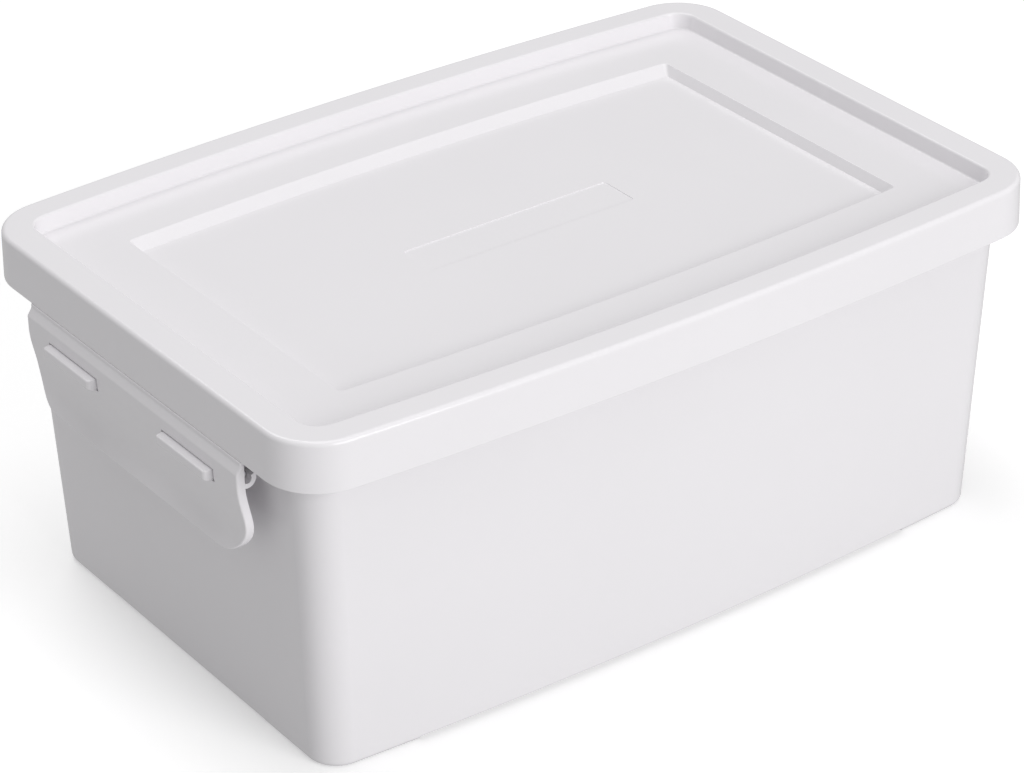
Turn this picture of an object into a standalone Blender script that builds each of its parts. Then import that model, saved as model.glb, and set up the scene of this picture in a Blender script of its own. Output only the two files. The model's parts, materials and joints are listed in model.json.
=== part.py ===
"""Stacking storage crate: a drafted tub on four corner feet, a lift-off lid with a stepped recess,
and a hinged clip on each end.

X runs along the crate's length, Y across it and Z up. The origin is at the middle of the footprint,
on the plane that the feet stand on. Sizes are in metres.
"""
import math

import bmesh
import bpy
from mathutils import Matrix

MM = 0.001

# Driving dimensions
HEIGHT = 172 * MM                  # feet to the lid's rim
LID_HALF_LENGTH = 201 * MM         # over the skirt
LID_HALF_WIDTH = 135.8 * MM        # over the skirt, at the middle of the bowed side
LID_CORNER = 27 * MM
SIDE_RADIUS = 2500 * MM            # plan radius of the bowed long sides
SKIRT_HEIGHT = 23.4 * MM
WALL = 2.0 * MM
GAP = 0.3 * MM                     # between pieces that touch in use

# Tub
BASE_HALF_LENGTH = 183.6 * MM
BASE_HALF_WIDTH = 118.2 * MM
BASE_CORNER = 15 * MM
MOUTH_HALF_LENGTH = 189.8 * MM
MOUTH_HALF_WIDTH = 125.4 * MM
MOUTH_CORNER = 16 * MM
RIM_TOP = HEIGHT - WALL - GAP
BASE_FILLET = 3 * MM
FOOT_HEIGHT = 2 * MM
FOOT_INNER_X = 137 * MM            # the feet begin this far from the middle
FOOT_INNER_Y = 63 * MM
FLOOR = FOOT_HEIGHT + 2.4 * MM
FLOOR_FILLET = 5 * MM
FLANGE_THICKNESS = 2.2 * MM
LIP_INSET = 3.2 * MM               # rim lip inside the lid's skirt
LIP_THICKNESS = 1.8 * MM
LIP_BOTTOM = RIM_TOP - 11 * MM

# Lid
SKIRT_BOTTOM = HEIGHT - SKIRT_HEIGHT
SKIRT_DRAFT = 0.5 * MM
TOP_FILLET = 2.2 * MM
RECESS_HALF_LENGTH = 185.0 * MM    # at the rim's inner edge
RECESS_HALF_WIDTH = 120.5 * MM
RECESS_CORNER = 10 * MM
RECESS_DEPTH = 8 * MM
RECESS_DRAFT = 0.8 * MM
RIM_CHAMFER = 1.0 * MM
STEP_HALF_LENGTH = 151.5 * MM      # inner edge of the ledge
STEP_HALF_WIDTH = 88.9 * MM
STEP_CORNER = 2.5 * MM
PANEL_HALF_LENGTH = 148.5 * MM     # foot of the slope, where the flat panel begins
PANEL_HALF_WIDTH = 83 * MM
PANEL_CORNER = 1.5 * MM
PANEL_DEPTH = 12.6 * MM
PLAQUE_LENGTH = 112 * MM
PLAQUE_WIDTH = 21 * MM
PLAQUE_MIDDLE_Y = -5 * MM
PLAQUE_DEPTH = 0.5 * MM

# Hinge rods and lugs, on the tub
HINGE_X = 198.6 * MM
HINGE_Z = 140.2 * MM
ROD_RADIUS = 1.8 * MM
ROD_HALF_LENGTH = 81.5 * MM
RIB_PLACES = (74 * MM, 21 * MM)
RIB_THICKNESS = 3 * MM
RIB_LOW = HINGE_Z - 5.4 * MM
RIB_HIGH = HINGE_Z - 1.4 * MM
RIB_LAP = 0.4 * MM                 # past the rod's middle
LUG_CENTRE = 46.8 * MM
LUG_LENGTH = 38.6 * MM
LUG_LOW = 131.8 * MM
LUG_HIGH = 137.4 * MM
LUG_TIP = 207.7 * MM
LUG_NOSE = 2.4 * MM                # round of the lower front edge
LUG_ROUND = 0.8 * MM               # round of the other front edges

# Clips, measured from the hinge line
CLAW_INNER = ROD_RADIUS + 0.4 * MM
CLAW_OUTER = 4.4 * MM
CLAW_SPAN_DEG = 210                # from the clip's plate down, behind the rod and up
CLAW_SPANS = ((77.5 * MM, 85.5 * MM), (6 * MM, 14 * MM))
CLIP_HALF_WIDTH = 85.5 * MM
CLIP_BOTTOM = 100.8 * MM - HINGE_Z
CLIP_CORNER = 18 * MM
CLIP_RIM_DEPTH = 3.9 * MM          # of the edge that is turned in along the ends and bottom
FLARE_X = 5.0 * MM                 # the face at the bottom edge
WAIST_X = 1.8 * MM                 # the face at its deepest line
WAIST_Z = 113 * MM - HINGE_Z
BROW_X = 5.1 * MM                  # the face at the hinge's height
BROW_Z = 137.8 * MM - HINGE_Z
SHOULDER_FOOT = 3.3 * MM           # the face turns in above this height
SHOULDER_TOP = 6.5 * MM
SHOULDER_INNER_TOP = 5.5 * MM
LIP_TOP = 7.7 * MM                 # of the thin lip that stands up under the lid's skirt
LIP_FRONT = 2.5 * MM
LIP_BACK = 1.6 * MM
LIP_ROOT = 1.0 * MM                # back of the lip at the clip's ends
SLOT_END = 1.0 * MM                # beside the lug's ends
SLOT_ABOVE = 0.5 * MM
SLOT_BELOW = 3.2 * MM              # under the lug, so that the clip can swing past it
CUT_REACH = 12 * MM                # of the clip's cutters, past the hinge line on both sides
CUT_TOP = 16 * MM                  # of the clip's cutters, clear above the lip

# Fineness
CORNER_STEPS = 6
SIDE_STEPS = 5
FILLET_STEPS = 4
FACE_STEPS = 10
BEVEL_STEPS = 3
CLIP_CORNER_STEPS = 8
ROD_SEGMENTS = 20
CLAW_STEPS = 12
SMOOTH_ANGLE = math.radians(35)

WHITE = (0.79, 0.78, 0.79, 1.0)
CLIP_WHITE = (0.77, 0.765, 0.775, 1.0)
TUB_ROUGHNESS = 0.32
LID_ROUGHNESS = 0.28
CLIP_ROUGHNESS = 0.34


def clear_scene():
    for obj in list(bpy.data.objects):
        bpy.data.objects.remove(obj, do_unlink=True)


def plastic(name, colour, roughness):
    material = bpy.data.materials.new(name)
    material.use_nodes = True
    shader = material.node_tree.nodes["Principled BSDF"]
    shader.inputs["Base Color"].default_value = colour
    shader.inputs["Roughness"].default_value = roughness
    shader.inputs["Metallic"].default_value = 0.0
    return material


# ---------------------------------------------------------------- outlines

def outline(half_x, half_y, corner, side_radius):
    """A rounded rectangle whose long sides bow outward, counter-clockwise seen from above.

    The corner arc is tangent to the straight end and to the long side's arc.
    """
    corner_x = half_x - corner
    bow_y = half_y - side_radius
    corner_y = bow_y + math.sqrt((side_radius - corner) ** 2 - corner_x ** 2)
    lean = math.atan2(corner_x, corner_y - bow_y)
    quarter = []
    for i in range(CORNER_STEPS + 1):
        angle = (math.pi / 2 - lean) * i / CORNER_STEPS
        quarter.append((corner_x + corner * math.cos(angle), corner_y + corner * math.sin(angle)))
    for i in range(1, SIDE_STEPS + 1):
        angle = lean * (1 - i / SIDE_STEPS)
        quarter.append((side_radius * math.sin(angle), bow_y + side_radius * math.cos(angle)))
    back = quarter[-2::-1]
    return (quarter
            + [(-x, y) for x, y in back]
            + [(-x, -y) for x, y in quarter]
            + [(x, -y) for x, y in back])


def tub_outline(z, inset=0.0):
    """The tub's outer wall at a height, moved inward by inset."""
    rise = z / RIM_TOP
    half_x = BASE_HALF_LENGTH + (MOUTH_HALF_LENGTH - BASE_HALF_LENGTH) * rise
    half_y = BASE_HALF_WIDTH + (MOUTH_HALF_WIDTH - BASE_HALF_WIDTH) * rise
    corner = BASE_CORNER + (MOUTH_CORNER - BASE_CORNER) * rise
    return outline(half_x - inset, half_y - inset, corner - inset, SIDE_RADIUS - inset)


def lid_outline(inset):
    """The lid's outer edge, moved inward by inset."""
    return outline(LID_HALF_LENGTH - inset, LID_HALF_WIDTH - inset, LID_CORNER - inset, SIDE_RADIUS - inset)


def recess_outline(inset):
    """The rim's inner edge, moved inward by inset."""
    return outline(RECESS_HALF_LENGTH - inset, RECESS_HALF_WIDTH - inset, RECESS_CORNER - inset,
                   SIDE_RADIUS - inset)


def step_outline(outset):
    return outline(STEP_HALF_LENGTH + outset, STEP_HALF_WIDTH + outset, STEP_CORNER, SIDE_RADIUS)


def panel_outline(outset):
    return outline(PANEL_HALF_LENGTH + outset, PANEL_HALF_WIDTH + outset, PANEL_CORNER, SIDE_RADIUS)


def arc(centre_a, centre_b, radius, start_deg, end_deg, steps):
    """Points (a, b) along an arc."""
    points = []
    for i in range(steps + 1):
        angle = math.radians(start_deg + (end_deg - start_deg) * i / steps)
        points.append((centre_a + radius * math.cos(angle), centre_b + radius * math.sin(angle)))
    return points


# ---------------------------------------------------------------- mesh helpers

def finish_mesh(bm, name):
    bmesh.ops.recalc_face_normals(bm, faces=bm.faces)
    mesh = bpy.data.meshes.new(name)
    bm.to_mesh(mesh)
    bm.free()
    return mesh


def add_object(name, mesh):
    obj = bpy.data.objects.new(name, mesh)
    bpy.context.scene.collection.objects.link(obj)
    return obj


def loft(name, sections):
    """A closed shell through rings of points, capped at both ends; sections are (outline, z)."""
    bm = bmesh.new()
    rings = [[bm.verts.new((x, y, z)) for x, y in points] for points, z in sections]
    count = len(rings[0])
    for lower, upper in zip(rings, rings[1:]):
        for i in range(count):
            j = (i + 1) % count
            bm.faces.new((lower[i], lower[j], upper[j], upper[i]))
    bm.faces.new(list(reversed(rings[0])))
    bm.faces.new(rings[-1])
    return add_object(name, finish_mesh(bm, name))


def prism(name, profile, low, high, plane="XZ"):
    """A closed profile pushed from low to high: XZ profiles along Y, YZ profiles along X."""
    bm = bmesh.new()
    if plane == "XZ":
        base = [bm.verts.new((a, low, b)) for a, b in profile]
        push = (0, high - low, 0)
    else:
        base = [bm.verts.new((low, a, b)) for a, b in profile]
        push = (high - low, 0, 0)
    face = bm.faces.new(base)
    grown = bmesh.ops.extrude_face_region(bm, geom=[face])
    moved = [item for item in grown["geom"] if isinstance(item, bmesh.types.BMVert)]
    bmesh.ops.translate(bm, verts=moved, vec=push)
    return add_object(name, finish_mesh(bm, name))


def block(name, low, high):
    """A box between two corners."""
    bm = bmesh.new()
    bmesh.ops.create_cube(bm, size=1.0)
    for vert in bm.verts:
        for axis in range(3):
            vert.co[axis] = low[axis] + (high[axis] - low[axis]) * (vert.co[axis] + 0.5)
    return add_object(name, finish_mesh(bm, name))


def round_edges(obj, chosen, radius):
    """Bevel the edges that chosen(start, end) picks."""
    bm = bmesh.new()
    bm.from_mesh(obj.data)
    edges = [edge for edge in bm.edges if chosen(edge.verts[0].co, edge.verts[1].co)]
    bmesh.ops.bevel(bm, geom=edges, offset=radius, segments=BEVEL_STEPS, affect="EDGES", profile=0.5)
    bm.to_mesh(obj.data)
    bm.free()


def combine(target, tool, operation):
    """Apply one exact Boolean and remove the tool."""
    modifier = target.modifiers.new("combine", "BOOLEAN")
    modifier.operation = operation
    modifier.solver = "EXACT"
    modifier.object = tool
    graph = bpy.context.evaluated_depsgraph_get()
    mesh = bpy.data.meshes.new_from_object(target.evaluated_get(graph))
    target.modifiers.clear()
    old = target.data
    target.data = mesh
    bpy.data.meshes.remove(old)
    bpy.data.objects.remove(tool, do_unlink=True)


def finish_object(obj, material):
    obj.data.materials.clear()
    obj.data.materials.append(material)
    obj.data.shade_smooth()
    obj.data.set_sharp_from_angle(angle=SMOOTH_ANGLE)


# ---------------------------------------------------------------- tub

def tub_shell():
    """Outer base and wall, rim flange with its turned-down lip, then the inner wall and floor."""
    sections = []
    for inset, z in arc(BASE_FILLET, BASE_FILLET, BASE_FILLET, 270, 180, FILLET_STEPS):
        sections.append((tub_outline(z, inset), z))
    flange_under = RIM_TOP - FLANGE_THICKNESS
    lip_inner = lid_outline(LIP_INSET + LIP_THICKNESS)
    lip_outer = lid_outline(LIP_INSET)
    sections.append((tub_outline(flange_under), flange_under))
    sections.append((lip_inner, flange_under))
    sections.append((lip_inner, LIP_BOTTOM))
    sections.append((lip_outer, LIP_BOTTOM))
    sections.append((lip_outer, RIM_TOP - LIP_THICKNESS / 2))
    sections.append((lid_outline(LIP_INSET + LIP_THICKNESS / 2), RIM_TOP))
    sections.append((tub_outline(RIM_TOP, WALL), RIM_TOP))
    floor_corner = WALL + FLOOR_FILLET
    for inset, z in arc(floor_corner, FLOOR + FLOOR_FILLET, FLOOR_FILLET, 180, 270, FILLET_STEPS):
        sections.append((tub_outline(z, inset), z))
    return loft("tub", sections)


def cut_feet(tub):
    """Raise the base between the four corners, which leaves the feet."""
    reach = LID_HALF_LENGTH
    along = block("cut_along", (-reach, -FOOT_INNER_Y, -FOOT_HEIGHT), (reach, FOOT_INNER_Y, FOOT_HEIGHT))
    across = block("cut_across", (-FOOT_INNER_X, -reach, -FOOT_HEIGHT), (FOOT_INNER_X, reach, FOOT_HEIGHT))
    combine(along, across, "UNION")
    combine(tub, along, "DIFFERENCE")


def wall_x(z):
    """Outer face of the end wall at a height."""
    return BASE_HALF_LENGTH + (MOUTH_HALF_LENGTH - BASE_HALF_LENGTH) * z / RIM_TOP


def add_lugs(tub, side):
    """The two lugs that stand through one clip's slots, with a rounded nose."""
    root = wall_x(LUG_LOW) - WALL / 2
    near_tip = LUG_TIP - LUG_ROUND / 2
    near_bottom = LUG_LOW + LUG_ROUND / 2
    for centre in (-LUG_CENTRE, LUG_CENTRE):
        low = (root, centre - LUG_LENGTH / 2, LUG_LOW)
        high = (LUG_TIP, centre + LUG_LENGTH / 2, LUG_HIGH)
        lug = block("lug", low, high)
        round_edges(lug, lambda a, b: min(a.x, b.x) > near_tip and max(a.z, b.z) < near_bottom, LUG_NOSE)
        round_edges(lug, lambda a, b: min(a.x, b.x) > near_tip, LUG_ROUND)
        lug.data.transform(side)
        lug.data.update()
        combine(tub, lug, "UNION")


def add_hinge_rod(tub, side):
    """A rod along the end, carried on ribs from below."""
    profile = arc(HINGE_X, HINGE_Z, ROD_RADIUS, 0, 360 - 360 / ROD_SEGMENTS, ROD_SEGMENTS - 1)
    rod = prism("rod", profile, -ROD_HALF_LENGTH, ROD_HALF_LENGTH)
    root = wall_x(RIB_LOW) - WALL / 2
    for place in RIB_PLACES:
        for centre in (-place, place):
            low = (root, centre - RIB_THICKNESS / 2, RIB_LOW)
            high = (HINGE_X + RIB_LAP, centre + RIB_THICKNESS / 2, RIB_HIGH)
            combine(rod, block("rib", low, high), "UNION")
    rod.data.transform(side)
    rod.data.update()
    combine(tub, rod, "UNION")


def build_tub():
    tub = tub_shell()
    cut_feet(tub)
    for side in (Matrix.Identity(4), Matrix.Rotation(math.pi, 4, "Z")):
        add_lugs(tub, side)
        add_hinge_rod(tub, side)
    finish_object(tub, plastic("tub_plastic", WHITE, TUB_ROUGHNESS))


# ---------------------------------------------------------------- lid

def lid_underside():
    """Panel, slope and ledge from below, then the tray's outside, the rim and the skirt's inside."""
    slope_outset = WALL / 2
    tray_foot = RECESS_DRAFT - WALL
    return [
        (panel_outline(slope_outset), HEIGHT - PANEL_DEPTH - WALL),
        (step_outline(slope_outset), HEIGHT - RECESS_DEPTH - WALL),
        (recess_outline(tray_foot + WALL), HEIGHT - RECESS_DEPTH - WALL),
        (recess_outline(tray_foot), HEIGHT - RECESS_DEPTH),
        (recess_outline(-WALL), HEIGHT - WALL),
        (lid_outline(SKIRT_DRAFT + WALL), HEIGHT - WALL),
        (lid_outline(WALL), SKIRT_BOTTOM),
    ]


def lid_top():
    """Skirt's outside, rounded top edge, rim, recess wall, ledge, slope and panel."""
    sections = [(lid_outline(0.0), SKIRT_BOTTOM)]
    edge_inset = SKIRT_DRAFT + TOP_FILLET
    for inset, z in arc(edge_inset, HEIGHT - TOP_FILLET, TOP_FILLET, 180, 90, FILLET_STEPS):
        sections.append((lid_outline(inset), z))
    sections.append((recess_outline(-RIM_CHAMFER), HEIGHT))
    sections.append((recess_outline(0.0), HEIGHT - RIM_CHAMFER))
    sections.append((recess_outline(RECESS_DRAFT), HEIGHT - RECESS_DEPTH))
    sections.append((step_outline(0.0), HEIGHT - RECESS_DEPTH))
    sections.append((panel_outline(0.0), HEIGHT - PANEL_DEPTH))
    return sections


def build_lid():
    lid = loft("lid", lid_underside() + lid_top())
    panel = HEIGHT - PANEL_DEPTH
    low = (-PLAQUE_LENGTH / 2, PLAQUE_MIDDLE_Y - PLAQUE_WIDTH / 2, panel - PLAQUE_DEPTH)
    high = (PLAQUE_LENGTH / 2, PLAQUE_MIDDLE_Y + PLAQUE_WIDTH / 2, panel + PLAQUE_DEPTH)
    combine(lid, block("plaque", low, high), "DIFFERENCE")
    finish_object(lid, plastic("lid_plastic", WHITE, LID_ROUGHNESS))


# ---------------------------------------------------------------- clips, in hinge-line coordinates

def face_x(z):
    """The clip's outer face: full at the brow, drawn in at the waist, flared at the bottom."""
    if z > WAIST_Z:
        along = min((z - WAIST_Z) / (BROW_Z - WAIST_Z), 1.0)
        return WAIST_X + (BROW_X - WAIST_X) * (1 - math.cos(math.pi * along)) / 2
    along = (WAIST_Z - z) / (WAIST_Z - CLIP_BOTTOM)
    return WAIST_X + (FLARE_X - WAIST_X) * along ** 2


def face_line(depth, low):
    """The face at a depth behind itself, from a height up to the foot of the shoulder."""
    heights = [low + (SHOULDER_FOOT - low) * i / FACE_STEPS for i in range(FACE_STEPS + 1)]
    return [(face_x(z) - depth, z) for z in heights]


def clip_profile():
    """The clip's section at its ends, where the rim closes it."""
    front = face_line(0, CLIP_BOTTOM) + [(LIP_FRONT, SHOULDER_TOP), (LIP_FRONT, LIP_TOP)]
    back = face_line(CLIP_RIM_DEPTH, CLIP_BOTTOM) + [(LIP_ROOT, LIP_TOP)]
    return front + back[::-1]


def pocket_profile():
    """The hollow behind the clip's plate, open at the back and the top."""
    front = face_line(WALL, CLIP_BOTTOM) + [(LIP_BACK, SHOULDER_INNER_TOP), (LIP_BACK, CUT_TOP)]
    return front + [(-CUT_REACH, CUT_TOP), (-CUT_REACH, CLIP_BOTTOM)]


def claw_profile():
    """Part of a ring around the hinge line."""
    outer = arc(0, 0, CLAW_OUTER, 0, -CLAW_SPAN_DEG, CLAW_STEPS)
    inner = arc(0, 0, CLAW_INNER, -CLAW_SPAN_DEG, 0, CLAW_STEPS)
    return outer + inner


def hanging_outline(inset):
    """The clip seen from its front: straight ends and rounded lower corners."""
    half = CLIP_HALF_WIDTH - inset
    bottom = CLIP_BOTTOM + inset
    radius = CLIP_CORNER - inset
    top = CUT_TOP + WALL
    right = arc(half - radius, bottom + radius, radius, -90, 0, CLIP_CORNER_STEPS)
    left = arc(radius - half, bottom + radius, radius, 180, 270, CLIP_CORNER_STEPS)
    return left + right + [(half, top), (-half, top)]


def clip_mesh():
    reach = CLIP_HALF_WIDTH + WALL
    clip = prism("clip", clip_profile(), -reach, reach)
    pocket = prism("pocket", pocket_profile(), -reach, reach)
    inside = prism("inside", hanging_outline(WALL), -CUT_REACH - WALL, CUT_REACH, "YZ")
    combine(pocket, inside, "INTERSECT")
    combine(clip, pocket, "DIFFERENCE")
    for low, high in CLAW_SPANS:
        for start, end in ((low, high), (-high, -low)):
            combine(clip, prism("claw", claw_profile(), start, end), "UNION")
    combine(clip, prism("edge", hanging_outline(0.0), -CUT_REACH, CUT_REACH, "YZ"), "INTERSECT")
    half_slot = LUG_LENGTH / 2 + SLOT_END
    for centre in (-LUG_CENTRE, LUG_CENTRE):
        low = (-CUT_REACH, centre - half_slot, LUG_LOW - SLOT_BELOW - HINGE_Z)
        high = (CUT_REACH, centre + half_slot, LUG_HIGH + SLOT_ABOVE - HINGE_Z)
        combine(clip, block("slot", low, high), "DIFFERENCE")
    return clip


def build_clips():
    right = clip_mesh()
    right.name = "clip_right"
    right.location = (HINGE_X, 0, HINGE_Z)
    finish_object(right, plastic("clip_right_plastic", CLIP_WHITE, CLIP_ROUGHNESS))
    left = add_object("clip_left", right.data.copy())
    left.location = (-HINGE_X, 0, HINGE_Z)
    left.rotation_euler = (0, 0, math.pi)
    finish_object(left, plastic("clip_left_plastic", CLIP_WHITE, CLIP_ROUGHNESS))


clear_scene()
build_tub()
build_lid()
build_clips()
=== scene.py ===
"""The look of the stacking crate: fine shells for the tub, lid and two clips, in white moulded plastic.

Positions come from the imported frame. X runs along the crate, Y across it and Z up, in metres.
"""
import json
import math

import bmesh
import bpy
from mathutils import Matrix, Vector


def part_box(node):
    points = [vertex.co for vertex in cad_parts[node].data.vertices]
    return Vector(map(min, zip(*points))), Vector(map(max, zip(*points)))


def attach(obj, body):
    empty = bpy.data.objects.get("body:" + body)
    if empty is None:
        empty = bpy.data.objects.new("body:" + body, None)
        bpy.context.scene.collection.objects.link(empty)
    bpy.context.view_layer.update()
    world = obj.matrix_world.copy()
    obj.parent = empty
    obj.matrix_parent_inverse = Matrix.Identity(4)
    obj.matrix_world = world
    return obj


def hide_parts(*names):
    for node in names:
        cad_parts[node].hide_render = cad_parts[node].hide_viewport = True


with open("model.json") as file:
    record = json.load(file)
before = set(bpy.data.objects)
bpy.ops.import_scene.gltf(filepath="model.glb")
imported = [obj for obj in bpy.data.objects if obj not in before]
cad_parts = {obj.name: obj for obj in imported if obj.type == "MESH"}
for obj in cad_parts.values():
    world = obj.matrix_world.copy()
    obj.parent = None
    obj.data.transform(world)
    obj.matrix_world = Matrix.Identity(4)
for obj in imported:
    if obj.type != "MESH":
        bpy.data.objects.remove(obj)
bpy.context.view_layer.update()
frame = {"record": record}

MM = 0.001

# Driving sizes, read from the frame
LID_LOW, LID_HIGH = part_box("lid")
TUB_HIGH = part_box("tub")[1]
CLIP_LOW, CLIP_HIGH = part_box("clip_right")
JOINTS = {joint["name"]: joint for joint in frame["record"]["behaviour"]["joints"]}
HINGE = Vector(JOINTS["clip_right_hinge"]["pos_m"])

HEIGHT = LID_HIGH.z
SKIRT_BOTTOM = LID_LOW.z
LID_HALF_LENGTH = LID_HIGH.x
LID_HALF_WIDTH = LID_HIGH.y
RIM_TOP = TUB_HIGH.z
LUG_TIP = TUB_HIGH.x
CLIP_HALF_WIDTH = CLIP_HIGH.y
CLIP_BOTTOM = CLIP_LOW.z - HINGE.z

# Plan shape
SIDE_RADIUS = 2500 * MM            # of the bowed long sides
LID_CORNER = 27 * MM
WALL = 2.0 * MM

# Tub
BASE_HALF_LENGTH = 183.6 * MM
BASE_HALF_WIDTH = 118.2 * MM
BASE_CORNER = 15 * MM
MOUTH_HALF_LENGTH = 189.8 * MM
MOUTH_HALF_WIDTH = 125.4 * MM
MOUTH_CORNER = 16 * MM
BASE_FILLET = 3 * MM
FOOT_HEIGHT = 2 * MM
FOOT_INNER_X = 137 * MM
FOOT_INNER_Y = 63 * MM
FOOT_ROUND = 0.3 * MM              # along the raised base's edges
FOOT_CORNER = 6 * MM               # of a foot, seen from below
FLOOR = FOOT_HEIGHT + 2.4 * MM
FLOOR_FILLET = 5 * MM
FLANGE_THICKNESS = 2.2 * MM
FLANGE_FILLET = 1.2 * MM
FLANGE_LIP_INSET = 3.2 * MM        # the flange's turned-down lip, inside the lid's skirt
FLANGE_LIP_THICKNESS = 1.8 * MM
FLANGE_LIP_BOTTOM = RIM_TOP - 11 * MM

# Lid
SKIRT_DRAFT = 0.5 * MM
SKIRT_EDGE = 0.3 * MM              # radius of the round along the skirt's bottom edge
SKIRT_EDGE_START_DEG = 345
TOP_FILLET = 2.2 * MM
RECESS_HALF_LENGTH = 185.0 * MM
RECESS_HALF_WIDTH = 120.5 * MM
RECESS_CORNER = 10 * MM
RECESS_DEPTH = 8 * MM
RECESS_DRAFT = 0.8 * MM
RIM_FILLET = 1.2 * MM
FOOT_FILLET = 1.0 * MM
STEP_HALF_LENGTH = 151.5 * MM
STEP_HALF_WIDTH = 88.9 * MM
STEP_CORNER = 2.5 * MM
PANEL_HALF_LENGTH = 148.5 * MM
PANEL_HALF_WIDTH = 83 * MM
PANEL_CORNER = 1.5 * MM
PANEL_DEPTH = 12.6 * MM
SLOPE_BEND = 0.05                  # of the slope's width, in the rounds at its top and foot
PLAQUE_LENGTH = 112 * MM
PLAQUE_WIDTH = 22 * MM
PLAQUE_MIDDLE_Y = -3 * MM
PLAQUE_DEPTH = 0.4 * MM
PLAQUE_SLOPE = 0.2 * MM
PLAQUE_CORNER = 1.5 * MM
PLAQUE_SIDE_RADIUS = 20000 * MM    # so large that the long sides are straight

# Hinge rods and lugs, on the tub
ROD_RADIUS = 1.8 * MM
ROD_HALF_LENGTH = 81.5 * MM
RIB_PLACES = (74 * MM, 21 * MM)
RIB_THICKNESS = 3 * MM
RIB_LOW = HINGE.z - 5.4 * MM
RIB_HIGH = HINGE.z - 1.4 * MM
RIB_LAP = 0.4 * MM
LUG_CENTRE = 46.8 * MM
LUG_LENGTH = 38.6 * MM
LUG_LOW = HINGE.z - 8.4 * MM
LUG_HIGH = HINGE.z - 2.8 * MM
LUG_NOSE = 2.4 * MM
LUG_BROW = 0.7 * MM
LUG_CORNER = 1.8 * MM

# Clips, measured from the hinge line
CLAW_INNER = ROD_RADIUS + 0.4 * MM
CLAW_OUTER = 4.4 * MM
CLAW_SPAN_DEG = 210
CLAW_SPANS = ((77.5 * MM, 85.5 * MM), (6 * MM, 14 * MM))
CLIP_CORNER = 18 * MM
CLIP_RIM_DEPTH = 3.9 * MM
CLIP_EDGE = 0.9 * MM
FLARE_X = 5.0 * MM
WAIST_X = 1.8 * MM
WAIST_Z = -27.2 * MM
BROW_X = 5.1 * MM
BROW_Z = -2.4 * MM
SHOULDER_FOOT = 3.3 * MM
SHOULDER_TOP = 6.5 * MM
SHOULDER_INNER_TOP = 5.5 * MM
SHOULDER_BLEND = 0.5 * MM
LIP_RISE = 0.65 * MM               # above the CAD lip, as the real one almost touches the skirt
LIP_TOP = CLIP_HIGH.z - HINGE.z + LIP_RISE
LIP_ROUND = 0.35 * MM
LIP_FRONT = 2.9 * MM
LIP_BACK = 1.6 * MM
LIP_ROOT = 1.0 * MM
SLOT_END = 1.0 * MM
SLOT_ABOVE = 0.5 * MM
SLOT_BELOW = 0.5 * MM              # less than in the CAD clip, which needs room to swing past the lug
CUT_REACH = 12 * MM                # how far a cutter goes past what it cuts
POCKET_TOP = 2 * LIP_TOP

# Fineness
CORNER_STEPS = 16
SIDE_STEPS = 16
FILLET_STEPS = 5
FACE_STEPS = 48
SHOULDER_STEPS = 24
CLIP_CORNER_STEPS = 24
CLAW_STEPS = 30
ROD_SEGMENTS = 40
SHARP_ANGLE = math.radians(50)
FACE_AREA_WEIGHT = 100             # large faces decide the shading at their corners

# Moulded plastic; each noise is its scale, detail, roughness and stretch
PLASTIC_WHITE = (0.872, 0.855, 0.879, 1.0)
PLASTIC_IOR = 1.49
SHELL_ROUGHNESS = 0.20
CLIP_ROUGHNESS = 0.22
NOISE_LOW, NOISE_HIGH = 0.3, 0.7   # nearly all of a noise's values lie between them
FLOW = (9, 4, 0.6, (1, 1, 1))
FLOW_SHADE = 0.985                 # of the white, where the flow is darkest
SMEAR = (35, 5, 0.65, (1.0, 2.5, 1.0))
SMEAR_GLOSSIER = 0.02
SMEAR_DULLER = 0.03
GRAIN = (700, 2, 0.5, (1, 1, 1))
GRAIN_STRENGTH = 0.15
GRAIN_HEIGHT = 0.02 * MM
WAVES = (11, 2, 0.5, (1, 1, 1))
WAVES_STRENGTH = 0.25
WAVES_HEIGHT = 0.3 * MM

# Camera: the angles from which the crate is seen
VIEW_AZIMUTH = -35.7
VIEW_ELEVATION = 30.0
VIEW_ROLL = -0.95
VIEW_DISTANCE = 1.68
VIEW_TARGET = Vector((-0.0028, 0.0013, 0.075))
LENS = 128.5
NEAR_LIMIT = 0.01

# Soft studio light: name, place, diameter in metres and power in watts
WORLD_STRENGTH = 0.426
LIGHT_TARGET = Vector((0, 0, 0.08))
LIGHTS = (
    ("front", (0.2, -2.4, 0.9), 1.6, 31.8),
    ("top", (0.0, -0.2, 2.6), 1.8, 13.0),
    ("top_back", (0.0, 1.3, 2.2), 1.4, 13.7),
)
FLOOR_REACH = 6.0
FLOOR_GAP = 0.2 * MM               # below the feet, so that the two flat faces don't coincide
FLOOR_ROUGHNESS = 0.8
FLOOR_GLOW = 0.264                 # like a white light table, so that the walls are even down to the feet
FLOOR_WHITE = 0.93                 # as the camera sees it
FLOOR_BOUNCE = 0.30                # as the crate sees it


# ---------------------------------------------------------------- outlines

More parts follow.
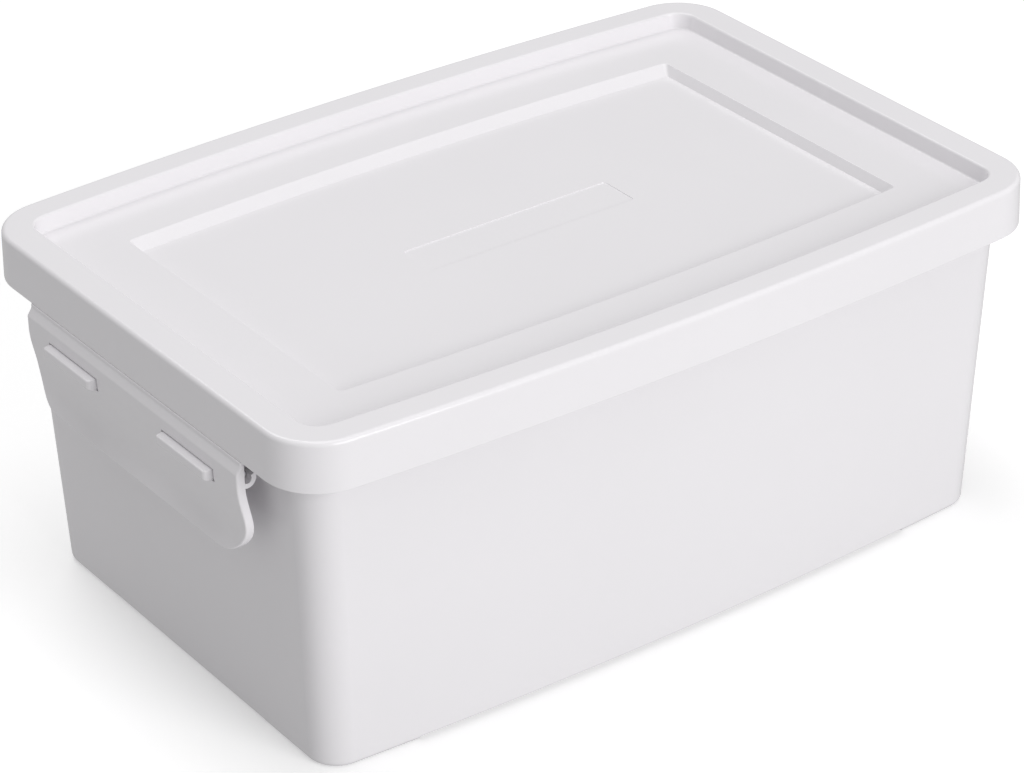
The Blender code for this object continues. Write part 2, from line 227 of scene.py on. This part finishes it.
def outline(half_x, half_y, corner, side_radius):
    """A rounded rectangle whose long sides bow outward, counter-clockwise seen from above."""
    corner_x = half_x - corner
    bow_y = half_y - side_radius
    corner_y = bow_y + math.sqrt((side_radius - corner) ** 2 - corner_x ** 2)
    lean = math.atan2(corner_x, corner_y - bow_y)
    quarter = []
    for i in range(CORNER_STEPS + 1):
        angle = (math.pi / 2 - lean) * i / CORNER_STEPS
        quarter.append((corner_x + corner * math.cos(angle), corner_y + corner * math.sin(angle)))
    for i in range(1, SIDE_STEPS + 1):
        angle = lean * (1 - i / SIDE_STEPS)
        quarter.append((side_radius * math.sin(angle), bow_y + side_radius * math.cos(angle)))
    back = quarter[-2::-1]
    return (quarter
            + [(-x, y) for x, y in back]
            + [(-x, -y) for x, y in quarter]
            + [(x, -y) for x, y in back])


def mix_outlines(first, second, share):
    """Point by point between two outlines: the first at share 0, the second at share 1."""
    return [(a * (1 - share) + c * share, b * (1 - share) + d * share)
            for (a, b), (c, d) in zip(first, second)]


def tub_outline(z, inset=0.0):
    """The tub's drafted outer wall at height z, moved in by inset."""
    rise = z / RIM_TOP
    half_x = BASE_HALF_LENGTH + (MOUTH_HALF_LENGTH - BASE_HALF_LENGTH) * rise
    half_y = BASE_HALF_WIDTH + (MOUTH_HALF_WIDTH - BASE_HALF_WIDTH) * rise
    corner = BASE_CORNER + (MOUTH_CORNER - BASE_CORNER) * rise
    return outline(half_x - inset, half_y - inset, corner - inset, SIDE_RADIUS - inset)


def lid_outline(inset):
    """The lid's outer edge, moved in by inset."""
    return outline(LID_HALF_LENGTH - inset, LID_HALF_WIDTH - inset, LID_CORNER - inset, SIDE_RADIUS - inset)


def recess_outline(inset):
    """The top edge of the lid's recess, moved in by inset."""
    return outline(RECESS_HALF_LENGTH - inset, RECESS_HALF_WIDTH - inset, RECESS_CORNER - inset,
                   SIDE_RADIUS - inset)


def slope_outline(share, outset=0.0):
    """From the ledge's inner edge, at share 0, to the edge of the flat panel, at share 1."""
    step = outline(STEP_HALF_LENGTH + outset, STEP_HALF_WIDTH + outset, STEP_CORNER, SIDE_RADIUS)
    panel = outline(PANEL_HALF_LENGTH + outset, PANEL_HALF_WIDTH + outset, PANEL_CORNER, SIDE_RADIUS)
    return mix_outlines(step, panel, share)


def arc(centre_a, centre_b, radius, start_deg, end_deg, steps=FILLET_STEPS):
    """Points along part of a circle."""
    points = []
    for i in range(steps + 1):
        angle = math.radians(start_deg + (end_deg - start_deg) * i / steps)
        points.append((centre_a + radius * math.cos(angle), centre_b + radius * math.sin(angle)))
    return points


def ramp(place, foot, top, bend):
    """Rises from 0 at foot to 1 at top along a straight line whose two bends are eased."""
    def eased(reach):
        if reach < -bend:
            return 0.0
        if reach < bend:
            return (reach + bend) ** 2 / (4 * bend)
        return reach
    return (eased(place - foot) - eased(place - top)) / (top - foot)


# ---------------------------------------------------------------- mesh helpers

def finish_mesh(bm, name):
    bmesh.ops.recalc_face_normals(bm, faces=bm.faces)
    mesh = bpy.data.meshes.new(name)
    bm.to_mesh(mesh)
    bm.free()
    return mesh


def add_object(name, mesh):
    obj = bpy.data.objects.new(name, mesh)
    bpy.context.scene.collection.objects.link(obj)
    return obj


def loft(name, sections):
    """A closed shell through rings of points, capped at both ends; sections are (outline, z)."""
    bm = bmesh.new()
    rings = [[bm.verts.new((x, y, z)) for x, y in points] for points, z in sections]
    count = len(rings[0])
    for lower, upper in zip(rings, rings[1:]):
        for i in range(count):
            j = (i + 1) % count
            bm.faces.new((lower[i], lower[j], upper[j], upper[i]))
    bm.faces.new(list(reversed(rings[0])))
    bm.faces.new(rings[-1])
    return add_object(name, finish_mesh(bm, name))


def prism(name, profile, low, high):
    """A closed profile of (x, z) points, pushed along Y from low to high."""
    bm = bmesh.new()
    face = bm.faces.new([bm.verts.new((x, low, z)) for x, z in profile])
    grown = bmesh.ops.extrude_face_region(bm, geom=[face])
    moved = [item for item in grown["geom"] if isinstance(item, bmesh.types.BMVert)]
    bmesh.ops.translate(bm, verts=moved, vec=(0, high - low, 0))
    return add_object(name, finish_mesh(bm, name))


def block(name, low, high):
    """A box between two corners."""
    bm = bmesh.new()
    bmesh.ops.create_cube(bm, size=1.0)
    for vert in bm.verts:
        for axis in range(3):
            vert.co[axis] = low[axis] + (high[axis] - low[axis]) * (vert.co[axis] + 0.5)
    return add_object(name, finish_mesh(bm, name))


def combine(target, tool, operation):
    """Apply one exact Boolean and remove the tool."""
    modifier = target.modifiers.new("combine", "BOOLEAN")
    modifier.operation = operation
    modifier.solver = "EXACT"
    modifier.object = tool
    graph = bpy.context.evaluated_depsgraph_get()
    before = target.data
    target.data = bpy.data.meshes.new_from_object(target.evaluated_get(graph))
    target.modifiers.clear()
    bpy.data.meshes.remove(before)
    bpy.data.objects.remove(tool, do_unlink=True)


def turn_round(obj):
    """Move a piece built for the +X end to the other end."""
    obj.data.transform(Matrix.Rotation(math.pi, 4, "Z"))
    obj.data.update()


def soften(obj, material):
    """Smooth shading that keeps flat faces flat, and the piece's material."""
    obj.data.materials.clear()
    obj.data.materials.append(material)
    obj.data.shade_smooth()
    obj.data.set_sharp_from_angle(angle=SHARP_ANGLE)
    weighted = obj.modifiers.new("weighted", "WEIGHTED_NORMAL")
    weighted.keep_sharp = True
    weighted.weight = FACE_AREA_WEIGHT


# ---------------------------------------------------------------- tub

def tub_sections():
    """Base and outer wall, rim flange with its turned-down lip, then the inner wall and floor."""
    sections = []
    for inset, z in arc(BASE_FILLET, BASE_FILLET, BASE_FILLET, 270, 180, 2 * FILLET_STEPS):
        sections.append((tub_outline(z, inset), z))
    under = RIM_TOP - FLANGE_THICKNESS
    for outset, z in arc(FLANGE_FILLET, under - FLANGE_FILLET, FLANGE_FILLET, 180, 90):
        sections.append((tub_outline(z, -outset), z))
    inner_corner = FLANGE_LIP_INSET + FLANGE_LIP_THICKNESS + FLANGE_FILLET
    for inset, z in arc(inner_corner, under - FLANGE_FILLET, FLANGE_FILLET, 90, 180):
        sections.append((lid_outline(inset), z))
    half_lip = FLANGE_LIP_THICKNESS / 2
    for inset, z in arc(FLANGE_LIP_INSET + half_lip, FLANGE_LIP_BOTTOM + half_lip, half_lip, 0, -180):
        sections.append((lid_outline(inset), z))
    for inset, z in arc(FLANGE_LIP_INSET + FLANGE_FILLET, RIM_TOP - FLANGE_FILLET, FLANGE_FILLET, 180, 90):
        sections.append((lid_outline(inset), z))
    for inset, z in arc(WALL - half_lip, RIM_TOP - half_lip, half_lip, 90, 0):
        sections.append((tub_outline(z, inset), z))
    corner = WALL + FLOOR_FILLET
    for inset, z in arc(corner, FLOOR + FLOOR_FILLET, FLOOR_FILLET, 180, 270, 2 * FILLET_STEPS):
        sections.append((tub_outline(z, inset), z))
    return sections


def cross_outline(spread):
    """The raised part of the base: a cross that leaves a foot at each corner of the tub."""
    reach = LID_HALF_LENGTH
    x, y = FOOT_INNER_X + spread, FOOT_INNER_Y + spread
    radius = FOOT_CORNER - spread
    quarter = [(reach, y)] + arc(x + radius, y + radius, radius, 270, 180, 2 * FILLET_STEPS) + [(x, reach)]
    back = quarter[::-1]
    return (quarter
            + [(-a, b) for a, b in back]
            + [(-a, -b) for a, b in quarter]
            + [(a, -b) for a, b in back])


def cut_feet(tub):
    """Cut the raised cross out of the base; its edges are rounded where the feet begin."""
    sections = [(cross_outline(FOOT_ROUND), -FOOT_HEIGHT)]
    for spread, z in arc(FOOT_ROUND, FOOT_ROUND, FOOT_ROUND, 270, 180):
        sections.append((cross_outline(FOOT_ROUND - spread), z))
    sections.append((cross_outline(0.0), FOOT_HEIGHT))
    combine(tub, loft("cross", sections), "DIFFERENCE")


def wall_x(z):
    """The outer face of the tub's end wall at height z."""
    return BASE_HALF_LENGTH + (MOUTH_HALF_LENGTH - BASE_HALF_LENGTH) * z / RIM_TOP


def lug_outline(centre, tip_inset, end_inset):
    """The lug seen from above, with rounded outer corners."""
    root = wall_x(LUG_LOW) - WALL / 2
    half = LUG_LENGTH / 2 - end_inset
    turn_x = LUG_TIP - tip_inset - LUG_CORNER
    turn_y = half - LUG_CORNER
    near = arc(turn_x, centre - turn_y, LUG_CORNER, -90, 0)
    far = arc(turn_x, centre + turn_y, LUG_CORNER, 0, 90)
    return [(root, centre - half)] + near + far + [(root, centre + half)]


def lug(centre):
    """A lug with a rounded nose, which stands through one of the clip's slots."""
    sections = []
    for inset, z in arc(LUG_NOSE, LUG_LOW + LUG_NOSE, LUG_NOSE, 270, 180, 2 * FILLET_STEPS):
        sections.append((lug_outline(centre, inset, inset * LUG_BROW / LUG_NOSE), z))
    for inset, z in arc(LUG_BROW, LUG_HIGH - LUG_BROW, LUG_BROW, 180, 90):
        sections.append((lug_outline(centre, inset, inset), z))
    return loft("lug", sections)


def hinge_rod():
    """The rod along the end, on ribs that carry it from below."""
    profile = arc(HINGE.x, HINGE.z, ROD_RADIUS, 0, 360 - 360 / ROD_SEGMENTS, ROD_SEGMENTS - 1)
    rod = prism("rod", profile, -ROD_HALF_LENGTH, ROD_HALF_LENGTH)
    root = wall_x(RIB_LOW) - WALL / 2
    for place in RIB_PLACES:
        for centre in (-place, place):
            low = (root, centre - RIB_THICKNESS / 2, RIB_LOW)
            high = (HINGE.x + RIB_LAP, centre + RIB_THICKNESS / 2, RIB_HIGH)
            combine(rod, block("rib", low, high), "UNION")
    return rod


def build_tub(material):
    tub = loft("tub_shell", tub_sections())
    cut_feet(tub)
    for turned in (False, True):
        for piece in (lug(-LUG_CENTRE), lug(LUG_CENTRE), hinge_rod()):
            if turned:
                turn_round(piece)
            combine(tub, piece, "UNION")
    soften(tub, material)
    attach(tub, "tub")
    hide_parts("tub")


# ---------------------------------------------------------------- lid

def slope_sections(from_z, outset):
    """The slope from the ledge down to the panel, straight between two small rounds."""
    drop = PANEL_DEPTH - RECESS_DEPTH
    bend = [2 * SLOPE_BEND * i / FILLET_STEPS for i in range(FILLET_STEPS + 1)]
    shares = bend + [1 - share for share in reversed(bend)]
    sections = []
    for share in shares:
        fall = drop * ramp(share, SLOPE_BEND, 1 - SLOPE_BEND, SLOPE_BEND)
        sections.append((slope_outline(share, outset), from_z - fall))
    return sections


def lid_underside():
    """From the panel's underside out over the ledge and the rim, then into the skirt."""
    ledge = HEIGHT - RECESS_DEPTH - WALL
    sections = slope_sections(ledge, WALL / 2)[::-1]
    tray_foot = RECESS_DRAFT - WALL
    for inset, z in arc(tray_foot + 2 * FOOT_FILLET, ledge + 2 * FOOT_FILLET, 2 * FOOT_FILLET, 270, 180):
        sections.append((recess_outline(inset), z))
    sections.append((recess_outline(-WALL), HEIGHT - WALL - RIM_FILLET))
    sections.append((recess_outline(-WALL - RIM_FILLET), HEIGHT - WALL))
    inner = SKIRT_DRAFT + WALL
    for inset, z in arc(inner + FOOT_FILLET, HEIGHT - WALL - FOOT_FILLET, FOOT_FILLET, 90, 180):
        sections.append((lid_outline(inset), z))
    return sections


def lid_top():
    """From the skirt's bottom edge up over the rim, then down to the ledge and the panel."""
    sections = []
    for inset, z in arc(SKIRT_EDGE, SKIRT_BOTTOM + SKIRT_EDGE, SKIRT_EDGE, SKIRT_EDGE_START_DEG, 180):
        sections.append((lid_outline(inset), z))
    edge_inset = SKIRT_DRAFT + TOP_FILLET
    for inset, z in arc(edge_inset, HEIGHT - TOP_FILLET, TOP_FILLET, 180, 90, 2 * FILLET_STEPS):
        sections.append((lid_outline(inset), z))
    for inset, z in arc(-RIM_FILLET, HEIGHT - RIM_FILLET, RIM_FILLET, 90, 0):
        sections.append((recess_outline(inset), z))
    ledge = HEIGHT - RECESS_DEPTH
    for inset, z in arc(RECESS_DRAFT + FOOT_FILLET, ledge + FOOT_FILLET, FOOT_FILLET, 180, 270):
        sections.append((recess_outline(inset), z))
    return sections + slope_sections(ledge, 0.0)


def plaque_cutter(panel):
    """A shallow sunk plaque with sloped sides, left blank."""
    sections = []
    for outset, z in ((0.0, panel - PLAQUE_DEPTH), (2 * PLAQUE_SLOPE, panel + PLAQUE_DEPTH)):
        half_x = PLAQUE_LENGTH / 2 + outset
        half_y = PLAQUE_WIDTH / 2 + outset
        points = outline(half_x, half_y, PLAQUE_CORNER + outset, PLAQUE_SIDE_RADIUS)
        sections.append(([(x, y + PLAQUE_MIDDLE_Y) for x, y in points], z))
    return loft("plaque", sections)


def build_lid(material):
    lid = loft("lid_shell", lid_underside() + lid_top())
    combine(lid, plaque_cutter(HEIGHT - PANEL_DEPTH), "DIFFERENCE")
    soften(lid, material)
    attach(lid, "lid")
    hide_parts("lid")


# ---------------------------------------------------------------- clips, in hinge-line coordinates

def face_x(z):
    """The clip's outer face: full at the brow, drawn in at the waist, flared at the bottom."""
    if z > WAIST_Z:
        along = min((z - WAIST_Z) / (BROW_Z - WAIST_Z), 1.0)
        return WAIST_X + (BROW_X - WAIST_X) * (1 - math.cos(math.pi * along)) / 2
    along = (WAIST_Z - z) / (WAIST_Z - CLIP_BOTTOM)
    return WAIST_X + (FLARE_X - WAIST_X) * along ** 2


def front_x(z):
    """The face, the shoulder that slopes in above it, and the upright lip with a rounded top edge."""
    into_round = max(z - (LIP_TOP - LIP_ROUND), 0.0)
    rounding = LIP_ROUND - math.sqrt(max(LIP_ROUND ** 2 - into_round ** 2, 0.0))
    shoulder = (BROW_X - LIP_FRONT) * ramp(z, SHOULDER_FOOT, SHOULDER_TOP, SHOULDER_BLEND)
    return face_x(z) - shoulder - rounding


def pocket_x(z):
    """The clip's inner face."""
    shoulder = (BROW_X - WALL - LIP_BACK) * ramp(z, SHOULDER_FOOT, SHOULDER_INNER_TOP, SHOULDER_BLEND)
    return face_x(z) - WALL - shoulder


def rim_x(z):
    """Back of the turned-in rim, which runs out into the lip."""
    rise = max(z - SHOULDER_FOOT, 0) / (LIP_TOP - SHOULDER_FOOT)
    foot = face_x(min(z, SHOULDER_FOOT)) - CLIP_RIM_DEPTH
    return foot + (LIP_ROOT - foot) * rise


def behind_x(z):
    """A flat back for the pocket's cutter, the same at every height."""
    return -CUT_REACH


def hanging_side(inset, top):
    """One side of the clip's outline from the bottom edge up: a rounded corner, then straight."""
    half = CLIP_HALF_WIDTH - inset
    bottom = CLIP_BOTTOM + inset
    radius = CLIP_CORNER - inset
    corner = arc(half - radius, bottom + radius, radius, -90, 0, CLIP_CORNER_STEPS)
    start = bottom + radius
    foot, end = SHOULDER_FOOT - SHOULDER_BLEND, SHOULDER_TOP + SHOULDER_BLEND
    heights = [start + (foot - start) * i / FACE_STEPS for i in range(1, FACE_STEPS)]
    heights += [foot + (end - foot) * i / SHOULDER_STEPS for i in range(SHOULDER_STEPS + 1)]
    heights += [z for _, z in arc(0.0, LIP_TOP - LIP_ROUND, LIP_ROUND, 0, 90)]
    if top > LIP_TOP:
        heights.append(top)
    return corner + [(half, z) for z in heights]


def hanging_sheet(name, inset, front, back, edge, top):
    """A closed sheet in the clip's outline, between two surfaces x(z), with a rounded front edge."""
    bm = bmesh.new()
    rings = []
    for shrink, depth in arc(edge, edge, edge, 270, 180):
        side = hanging_side(inset + shrink, top)
        rings.append([(front(z) - depth, y, z) for y, z in side])
    rings.append([(back(z), y, z) for y, z in hanging_side(inset, top)])
    count = len(rings[0])
    loops = []
    for ring in rings:
        right = [bm.verts.new(point) for point in ring]
        left = [bm.verts.new((x, -y, z)) for x, y, z in ring]
        loops.append(right + left[::-1])
    for loop, inner in zip(loops, loops[1:]):
        for i in range(2 * count):
            j = (i + 1) % (2 * count)
            bm.faces.new((loop[i], loop[j], inner[j], inner[i]))
    for loop in (loops[0], loops[-1]):
        for i in range(count - 1):
            bm.faces.new((loop[i], loop[i + 1], loop[-i - 2], loop[-i - 1]))
    return add_object(name, finish_mesh(bm, name))


def claw_profile():
    """Part of a ring around the hinge line."""
    outer = arc(0, 0, CLAW_OUTER, 0, -CLAW_SPAN_DEG, CLAW_STEPS)
    inner = arc(0, 0, CLAW_INNER, -CLAW_SPAN_DEG, 0, CLAW_STEPS)
    return outer + inner


def clip_mesh(name):
    """The clip at the +X end: its sheet, pocket, claws and slots."""
    clip = hanging_sheet(name, 0.0, front_x, rim_x, CLIP_EDGE, LIP_TOP)
    pocket = hanging_sheet("pocket", WALL, pocket_x, behind_x, CLIP_EDGE, POCKET_TOP)
    combine(clip, pocket, "DIFFERENCE")
    for low, high in CLAW_SPANS:
        for start, end in ((low, high), (-high, -low)):
            combine(clip, prism("claw", claw_profile(), start, end), "UNION")
    half_slot = LUG_LENGTH / 2 + SLOT_END
    for centre in (-LUG_CENTRE, LUG_CENTRE):
        low = (-CUT_REACH, centre - half_slot, LUG_LOW - SLOT_BELOW - HINGE.z)
        high = (CUT_REACH, centre + half_slot, LUG_HIGH + SLOT_ABOVE - HINGE.z)
        combine(clip, block("slot", low, high), "DIFFERENCE")
    return clip


def build_clip(side, material):
    """side is 'right' for the +X end and 'left' for the other."""
    clip = clip_mesh(f"clip_{side}_shell")
    clip.data.transform(Matrix.Translation((HINGE.x, 0, HINGE.z)))
    if side == "left":
        turn_round(clip)
    soften(clip, material)
    node = f"clip_{side}"
    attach(clip, node)
    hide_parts(node)


# ---------------------------------------------------------------- materials

def add_node(tree, kind, settings):
    """A node of the given kind with the named inputs set."""
    node = tree.nodes.new(kind)
    for name, value in settings.items():
        node.inputs[name].default_value = value
    return node


def noise(tree, scale, detail, roughness, stretch):
    """Noise fixed to the piece, with its scale multiplied by stretch along X, Y and Z."""
    place = tree.nodes.new("ShaderNodeTexCoord")
    mapping = add_node(tree, "ShaderNodeMapping", {"Scale": stretch})
    settings = {"Scale": scale, "Detail": detail, "Roughness": roughness}
    texture = add_node(tree, "ShaderNodeTexNoise", settings)
    tree.links.new(place.outputs["Object"], mapping.inputs["Vector"])
    tree.links.new(mapping.outputs["Vector"], texture.inputs["Vector"])
    return texture.outputs["Fac"]


def spread(tree, source, low, high):
    """A noise's usual values, spread from low to high."""
    settings = {"From Min": NOISE_LOW, "From Max": NOISE_HIGH, "To Min": low, "To Max": high}
    node = add_node(tree, "ShaderNodeMapRange", settings)
    tree.links.new(source, node.inputs["Value"])
    return node.outputs["Result"]


def bump(tree, source, strength, height):
    node = add_node(tree, "ShaderNodeBump", {"Strength": strength, "Distance": height})
    tree.links.new(source, node.inputs["Height"])
    return node


def moulded_plastic(name, roughness):
    """White polypropylene: a trace of flow in the colour, faint smears in the gloss, fine moulded grain."""
    material = bpy.data.materials.new(name)
    material.use_nodes = True
    tree = material.node_tree
    shader = tree.nodes["Principled BSDF"]
    shader.inputs["IOR"].default_value = PLASTIC_IOR

    tint = tree.nodes.new("ShaderNodeMix")
    tint.data_type = "RGBA"
    tint.inputs["A"].default_value = [channel * FLOW_SHADE for channel in PLASTIC_WHITE[:3]] + [1.0]
    tint.inputs["B"].default_value = PLASTIC_WHITE
    tree.links.new(spread(tree, noise(tree, *FLOW), 0.0, 1.0), tint.inputs["Factor"])
    tree.links.new(tint.outputs["Result"], shader.inputs["Base Color"])

    gloss = spread(tree, noise(tree, *SMEAR), roughness - SMEAR_GLOSSIER, roughness + SMEAR_DULLER)
    tree.links.new(gloss, shader.inputs["Roughness"])

    grain = bump(tree, noise(tree, *GRAIN), GRAIN_STRENGTH, GRAIN_HEIGHT)
    waves = bump(tree, noise(tree, *WAVES), WAVES_STRENGTH, WAVES_HEIGHT)
    tree.links.new(grain.outputs["Normal"], waves.inputs["Normal"])
    tree.links.new(waves.outputs["Normal"], shader.inputs["Normal"])
    return material


def floor_material():
    """A glowing white floor that throws back only a little of the light that falls on it."""
    material = bpy.data.materials.new("studio_floor")
    material.use_nodes = True
    nodes, links = material.node_tree.nodes, material.node_tree.links
    shader = nodes["Principled BSDF"]
    rays = nodes.new("ShaderNodeLightPath")
    white = nodes.new("ShaderNodeMapRange")
    white.inputs["To Min"].default_value = FLOOR_BOUNCE
    white.inputs["To Max"].default_value = FLOOR_WHITE
    links.new(rays.outputs["Is Camera Ray"], white.inputs["Value"])
    links.new(white.outputs["Result"], shader.inputs["Base Color"])
    shader.inputs["Roughness"].default_value = FLOOR_ROUGHNESS
    shader.inputs["Emission Color"].default_value = (1, 1, 1, 1)
    shader.inputs["Emission Strength"].default_value = FLOOR_GLOW
    return material


# ---------------------------------------------------------------- stage

def build_floor():
    bm = bmesh.new()
    bmesh.ops.create_grid(bm, x_segments=2, y_segments=2, size=FLOOR_REACH)
    floor = add_object("studio_floor", finish_mesh(bm, "studio_floor"))
    floor.location.z = -FLOOR_GAP
    floor.data.materials.append(floor_material())


def area_light(name, place, size, power):
    """A round soft light that faces the crate's middle."""
    data = bpy.data.lights.new(name, "AREA")
    data.shape = "DISK"
    data.size = size
    data.energy = power
    light = bpy.data.objects.new(name, data)
    light.location = place
    light.rotation_euler = (LIGHT_TARGET - Vector(place)).to_track_quat("-Z", "Y").to_euler()
    bpy.context.scene.collection.objects.link(light)


def build_lights():
    world = bpy.data.worlds.new("studio")
    bpy.context.scene.world = world
    world.use_nodes = True
    world.node_tree.nodes["Background"].inputs["Strength"].default_value = WORLD_STRENGTH
    world.node_tree.nodes["Background"].inputs["Color"].default_value = (1, 1, 1, 1)
    for name, place, size, power in LIGHTS:
        area_light(name, place, size, power)


def build_camera():
    azimuth, elevation = math.radians(VIEW_AZIMUTH), math.radians(VIEW_ELEVATION)
    back = Vector((math.sin(azimuth) * math.cos(elevation),
                   -math.cos(azimuth) * math.cos(elevation),
                   math.sin(elevation)))
    data = bpy.data.cameras.new("camera")
    data.lens = LENS
    data.clip_start = NEAR_LIMIT
    camera = bpy.data.objects.new("camera", data)
    camera.location = VIEW_TARGET + back * VIEW_DISTANCE
    camera.rotation_euler = back.to_track_quat("Z", "Y").to_euler()
    camera.rotation_euler.rotate_axis("Z", math.radians(VIEW_ROLL))
    bpy.context.scene.collection.objects.link(camera)
    bpy.context.scene.camera = camera


bpy.context.scene.view_settings.view_transform = "Standard"
shell_white = moulded_plastic("white_moulded_plastic", SHELL_ROUGHNESS)
clip_white = moulded_plastic("clip_moulded_plastic", CLIP_ROUGHNESS)
build_tub(shell_white)
build_lid(shell_white)
build_clip("left", clip_white)
build_clip("right", clip_white)
build_floor()
build_lights()
build_camera()
